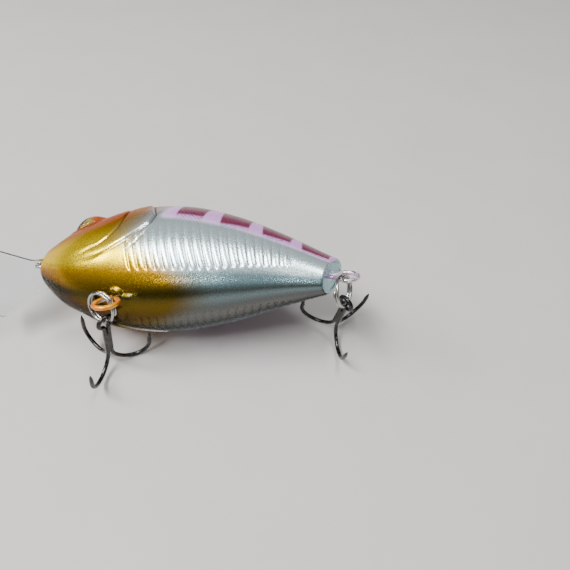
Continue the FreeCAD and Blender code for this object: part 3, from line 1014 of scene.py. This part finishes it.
def wire(points, radius, sides=20, closed=False, flat=1.0, flat_way=None, cone_ends=0.5):
    """Round wire swept along a path. A flat below 1 thins it along flat_way."""
    points = np.array(points, float)
    count = len(points)
    radii = np.broadcast_to(radius, count)
    steps = np.roll(points, -1, 0) - np.roll(points, 1, 0) if closed else np.gradient(points, axis=0)
    ways = unit(steps)
    side = unit(np.cross(ways[0], [0.3, 0.5, 0.8]))
    frames = []
    for way in ways:
        side = unit(side - way * (side @ way))
        frames.append((side, np.cross(way, side)))
    angles = np.linspace(0.0, 2 * np.pi, sides, endpoint=False)
    first, (last, last_side) = frames[0][0], frames[-1]
    twist = math.atan2(first @ last_side, first @ last) if closed else 0.0
    rings = []
    for i, (first, second) in enumerate(frames):
        turned = angles + twist * i / count
        ring = np.cos(turned)[:, None] * first + np.sin(turned)[:, None] * second
        if flat_way is not None:
            ring = ring - (ring @ flat_way)[:, None] * flat_way * (1 - flat)
        rings.append(points[i] + ring * radii[i])
    verts = np.concatenate(rings)
    if closed:
        faces = grid_faces(count + 1, sides, closed=True)
        return verts, [tuple(i % len(verts) for i in quad) for quad in faces]
    tips = [points[0] - ways[0] * radii[0] * cone_ends, points[-1] + ways[-1] * radii[-1] * cone_ends]
    return np.concatenate([verts, tips]), tube_faces(count, sides)


def rounded_path(points, reach, closed=False, step=PATH_STEP, last_step=PATH_STEP):
    """Evenly spaced path with its corners rounded."""
    return evenly(smoothed(evenly(points, step, closed), reach, closed), last_step, closed)


def circle(centre, radius, first, second, start, end):
    """Points on an arc, angles in degrees from the first way towards the second."""
    count = max(int(abs(math.radians(end - start)) * radius / PATH_STEP), 3)
    angles = np.radians(np.linspace(start, end, count))
    return [Vector(centre) + (first * math.cos(a) + second * math.sin(a)) * radius for a in angles]


def open_eye(centre, radius, way, side, half_gap):
    """Arc round an eye from one leg to the other, with the legs opposite to the way."""
    turn = 180.0 - math.degrees(math.asin(half_gap / radius))
    return circle(centre, radius, way, side, -turn, turn)


def line(start, end):
    """Points along a straight line."""
    start, end = Vector(start), Vector(end)
    count = max(int((end - start).length / PATH_STEP), 2)
    return [start.lerp(end, i / (count - 1)) for i in range(count)]


def add_wire(node, path, radius, sides, middle, closed=False):
    """Painted wire, with how much of its paint is left at each point."""
    colour, second, (low, high) = WIRE_PAINTS[node]
    points, faces = wire(path, radius, sides, closed=closed)
    material = painted_wire(node + "_paint", colour, second)
    piece = add_piece(node, "wire", to_frame(points), faces, material)
    out = ease(points[:, 2] - middle.z, *COVER_FADE)
    add_values(piece, "cover", low + (high - low) * out)


def make_hanger(name):
    """Bent wire hanger: outer eye, two legs and a buried eye, in one loop."""
    loop, buried = (Vector(v) for v in HANGERS[name])
    way = (loop - buried).normalized()
    side = way.cross(Y_WAY)
    outer = open_eye(loop, HANGER_RING, way, side, HANGER_HALF_GAP)
    inner = open_eye(buried, BURIED_RING, -way, side, HANGER_HALF_GAP)[::-1]
    path = outer + line(outer[-1], inner[0]) + inner + line(inner[-1], outer[0])
    add_wire(name + "_hanger", rounded_path(path, 4.0, closed=True), HANGER_WIRE, 22, loop, closed=True)


def make_line_tie():
    """Nose eye on two straight legs."""
    loop = Vector(TIE_LOOP)
    eye = open_eye(loop, TIE_RING, -X_WAY, Z_WAY, TIE_HALF_GAP)
    ends = [Vector((TIE_LEG_END, 0.0, loop.z + sign * TIE_HALF_GAP)) for sign in (-1, 1)]
    path = line(ends[0], eye[0]) + eye + line(eye[-1], ends[1])
    add_wire("line_tie", rounded_path(path, 3.5), TIE_WIRE, 20, loop)


def coil_height(turned):
    """Height of the coil's wire after turning this many degrees."""
    share = np.clip((turned - 360.0 + COIL_CROSSOVER / 2) / COIL_CROSSOVER, 0.0, 1.0)
    return -COIL_PITCH / 2 + COIL_PITCH * (1 - np.cos(np.pi * share)) / 2


def make_split_ring(name, material):
    """Double coil of spring wire with ground ends."""
    through, centre_way, normal = (Vector(v) for v in RINGS[name])
    centre_way.normalize()
    normal = (normal - centre_way * normal.dot(centre_way)).normalized()
    centre = through + centre_way * COIL_RADIUS
    x_way, y_way = -centre_way, normal.cross(-centre_way)
    turned = np.linspace(COIL_CROSSOVER / 2, 720.0 - COIL_CROSSOVER / 2, COIL_STEPS)
    angles = np.radians(turned + 90.0)
    flat_coil = COIL_RADIUS * np.stack([np.cos(angles), np.sin(angles)], -1)
    path = flat_coil @ np.array((x_way, y_way)) + np.outer(coil_height(turned), normal) + centre
    from_end = np.minimum(turned - turned[0], turned[-1] - turned)
    radii = COIL_WIRE * (0.62 + 0.38 * ease(from_end, 0.0, 7.0))
    verts, faces = wire(path, radii, 20, cone_ends=0.25)
    add_piece(name + "_split_ring", "coil", to_frame(verts), faces, material,
              name + "_ring")


def treble_place(name):
    """A treble's three ways and its origin, in millimetres of the shared frame."""
    shank, turn = HOOKS[name]
    shank = Vector(shank).normalized()
    third = compass(turn)
    third = (third - shank * third.dot(shank)).normalized()
    origin = joint_point(name + "_hook_swing") + shank * EYE_DROP + third * (HOOK_SPREAD / 2)
    return np.array((third, third.cross(shank), -shank)), origin


def hook_path(turn, top):
    """One hook's centreline from its point round the bend and up the shank."""
    out = compass(turn)
    near, middle, far = (out * (HOOK_SPREAD + HOOK_BEND * n) - Z_WAY * HOOK_SHANK for n in range(3))
    point = line(far + Z_WAY * HOOK_POINT, far)
    bend = circle(middle, HOOK_BEND, out, -Z_WAY, 0, 180)
    return point + bend[1:] + line(near, out * HOOK_SPREAD - Z_WAY * top)[1:]


def point_radii(path, both):
    """Wire radius along a path that starts, and may end, in a sharp point."""
    steps = np.linalg.norm(np.diff(path, axis=0), axis=1)
    length = np.concatenate([[0.0], np.cumsum(steps)])
    from_tip = np.minimum(length, length[-1] - length) if both else length
    share = np.clip(from_tip / HOOK_TAPER, 0.0, 1.0)
    return HOOK_WIRE * (0.05 + 0.95 * np.sin(share * np.pi / 2) ** 0.9)


def barb(turn):
    """Sliver raised on the inner side of a hook's point."""
    out = compass(turn)
    root = out * (HOOK_SPREAD + 2 * HOOK_BEND - BARB_INSET)
    root = root + Z_WAY * (HOOK_POINT - HOOK_SHANK - BARB_BELOW_TIP)
    lean = out * math.sin(BARB_LEAN) + Z_WAY * math.cos(BARB_LEAN)
    path = line(root, root - lean * BARB_LENGTH)
    radii = np.linspace(*BARB_RADII, len(path))
    return wire(path, radii, 12, flat=BARB_FLAT, flat_way=np.array(out.cross(Z_WAY)))


def joined(parts):
    """Several (points, faces) made one."""
    points, faces = np.empty((0, 3)), []
    for more, more_faces in parts:
        faces += [tuple(i + len(points) for i in face) for face in more_faces]
        points = np.concatenate([points, more])
    return points, faces


def braze_form():
    """Filler in the grooves between three shanks, uneven at both ends."""
    length = BRAZE_BOTTOM - BRAZE_TOP
    points = []
    for i in range(BRAZE_ROWS):
        share = i / (BRAZE_ROWS - 1)
        end = min(share, 1 - share) * length
        for j in range(BRAZE_SIDES):
            angle = 2 * math.pi * j / BRAZE_SIDES
            lobe = BRAZE_LOBE * (0.5 + 0.5 * math.cos(3 * angle))
            swell = BRAZE_RADIUS + lobe + BRAZE_WAVE * math.sin(9.0 * share + angle)
            uneven = BRAZE_TAPER + BRAZE_UNEVEN * math.sin(3 * angle + 0.8)
            taper = min(end / uneven, 1.0) ** 0.5
            radius = BRAZE_CORE + (swell - BRAZE_CORE) * taper
            points.append(compass(angle) * radius - Z_WAY * (BRAZE_TOP + length * share))
    points += [Z_WAY * (BRAZE_TIP - BRAZE_TOP), -Z_WAY * (BRAZE_BOTTOM + BRAZE_TIP)]
    return np.array(points), tube_faces(BRAZE_ROWS, BRAZE_SIDES)


def make_treble(name, hook_material, braze_material):
    """Bent double hook with its eye, the third hook and the braze."""
    turn = 2 * math.pi / 3
    half_gap = HOOK_SPREAD * math.sin(turn)
    leg_top = math.sqrt(HOOK_EYE ** 2 - half_gap ** 2)
    eye = open_eye(X_WAY * (-HOOK_SPREAD / 2), HOOK_EYE, Z_WAY, Y_WAY, half_gap)[-2:0:-1]
    path = rounded_path(hook_path(turn, leg_top) + eye + hook_path(-turn, leg_top)[::-1], 2.5)
    pair = joined([wire(path, point_radii(path, True), 22), barb(turn), barb(-turn)])
    path = rounded_path(hook_path(0.0, THIRD_TOP), 2.5)
    third = joined([wire(path, point_radii(path, False), 22), barb(0.0)])
    ways, origin = treble_place(name)
    for part, form, (points, faces), slot, material in (
        ("pair", "wire", pair, "hook_nickel", hook_material),
        ("third", "wire", third, "hook_nickel", hook_material),
        ("braze", "fill", braze_form(), "braze", braze_material),
    ):
        points = (points @ ways + origin) * MM
        add_piece(name + "_treble_" + part, form, points, faces, material, name + "_treble")


# ---- diving lip


def lip_outline():
    """Edge of the lip's plate, in its own plane, as a closed loop."""
    corner = Vector((LIP_FLARE_END, LIP_HALF_WIDTH))
    right = [Vector((x, LIP_TONGUE_HALF_WIDTH)) for x in (-LIP_TONGUE, LIP_FLARE_START)] + [corner]
    rise = LIP_LENGTH - corner.x
    radius = (rise ** 2 + corner.y ** 2) / (2 * rise)
    reach = math.asin(corner.y / radius)
    front = [
        Vector((LIP_LENGTH - radius + radius * math.cos(a), radius * math.sin(a)))
        for a in np.linspace(reach, -reach, 60)
    ]
    left = [Vector((p.x, -p.y)) for p in reversed(right)]
    path = [p.to_3d() for p in right + front[1:-1] + left]
    return rounded_path(path, 4.0, True, 0.12, 0.15)


def make_lip(material):
    """Clear plate with softened edges."""
    outline = lip_outline()
    ways = unit(np.roll(outline, -1, 0) - np.roll(outline, 1, 0))
    inward = np.stack([ways[:, 1], -ways[:, 0], 0 * ways[:, 0]], -1)
    from_middle = outline - outline.mean(0)
    if ((from_middle + inward) ** 2).sum() > (from_middle ** 2).sum():
        inward = -inward
    half = LIP_THICKNESS / 2
    lower = [(inset, drop - half) for inset, drop in LIP_EDGE]
    section = lower + [(inset, -height) for inset, height in reversed(lower)]
    rings = [outline + inward * inset + np.array([0.0, 0.0, height]) for inset, height in section]
    count = len(outline)
    points = np.concatenate(rings)
    faces = grid_faces(len(rings), count, closed=True)
    faces += [tuple(range(count)), tuple(range(len(points) - count, len(points)))]
    forward = Vector((-math.cos(LIP_DROP), 0.0, -math.sin(LIP_DROP)))
    over = Y_WAY.cross(forward)
    turned = points @ np.array((forward, over.cross(forward), over))
    piece = add_piece("diving_lip", "plate", to_frame(turned + LIP_ROOT), faces, material)
    soften = piece.modifiers.new("even_normals", "WEIGHTED_NORMAL")
    soften.keep_sharp = False


# ---- build


def build_lure():
    """Every piece of the lure with its finish."""
    shell = body_paint()
    make_shell(-1, "left_body_shell", shell)
    make_shell(1, "right_body_shell", shell)
    make_lip(clear_plastic("clear_lip", (0.93, 0.96, 0.97), 1.58))
    make_eyes(iris_print(), clear_plastic("eye_dome", (0.98, 0.98, 0.98), 1.46))
    make_hanger("belly")
    make_hanger("tail")
    make_line_tie()
    metals = {slot: bright_metal(slot, *look) for slot, look in METALS.items()}
    for name in ("belly", "tail"):
        make_split_ring(name, metals["ring_steel"])
        make_treble(name, metals["hook_nickel"], metals["braze"])
    finish_hidden("belly_ballast", metals["ballast"])
    for node in ("rattle_ball_front", "rattle_ball_rear"):
        finish_hidden(node, metals["rattle_steel"])


def finish_hidden(node, material):
    """Give a CAD node its own finish."""
    mesh = frame["nodes"][node].data
    mesh.materials.clear()
    mesh.materials.append(material)


# ---- floor, light and camera


def floor_material():
    """Pale matt board with a faint mottle."""
    paint = Paint("floor", Roughness=0.6)
    mottle = paint.noise(paint.place(), 60.0, 5.0, 0.6)
    paint.feed("Base Color", paint.mix(mottle, (0.43, 0.415, 0.40), (0.49, 0.475, 0.46)))
    return paint.block


def make_floor():
    """Wide flat board under the lure."""
    mesh = bpy.data.meshes.new("floor")
    corners = [(x * FLOOR_REACH, y * FLOOR_REACH, 0) for x, y in ((-1, -1), (1, -1), (1, 1), (-1, 1))]
    mesh.from_pydata(corners, [], [(0, 1, 2, 3)])
    floor = new_object("floor", mesh)
    mesh.materials.append(floor_material())


def add_light(name, way, distance, width, depth, power):
    """Soft area light that faces the lure's middle."""
    data = bpy.data.lights.new(name, "AREA")
    data.shape = "RECTANGLE"
    data.size = width
    data.size_y = depth
    data.energy = power
    light = new_object(name, data)
    way = Vector(way).normalized()
    light.location = LIT_POINT + way * distance
    light.rotation_euler = way.to_track_quat("Z", "Y").to_euler()


def make_world():
    """Studio surround, lit by height."""
    sky = Paint("studio", bpy.data.worlds, "Background", Strength=SKY_STRENGTH)
    _, _, height = sky.parts(sky.node("TexCoord").outputs["Generated"])
    sky.feed("Color", sky.ramp(height, SKY))
    bpy.context.scene.world = sky.block


def make_camera():
    """Close camera above the table, on the belly side."""
    data = bpy.data.cameras.new("camera")
    data.lens = CAMERA_LENS
    data.sensor_width = CAMERA_SENSOR
    data.clip_start = MM
    camera = new_object("camera", data)
    turned = Matrix((CAMERA_RIGHT, CAMERA_UP, CAMERA_BACK)).transposed().to_4x4()
    camera.matrix_world = Matrix.Translation(CAMERA_PLACE * MM) @ turned
    bpy.context.scene.camera = camera


build_lure()
make_floor()
make_world()
for light in LIGHTS:
    add_light(*light)
make_camera()
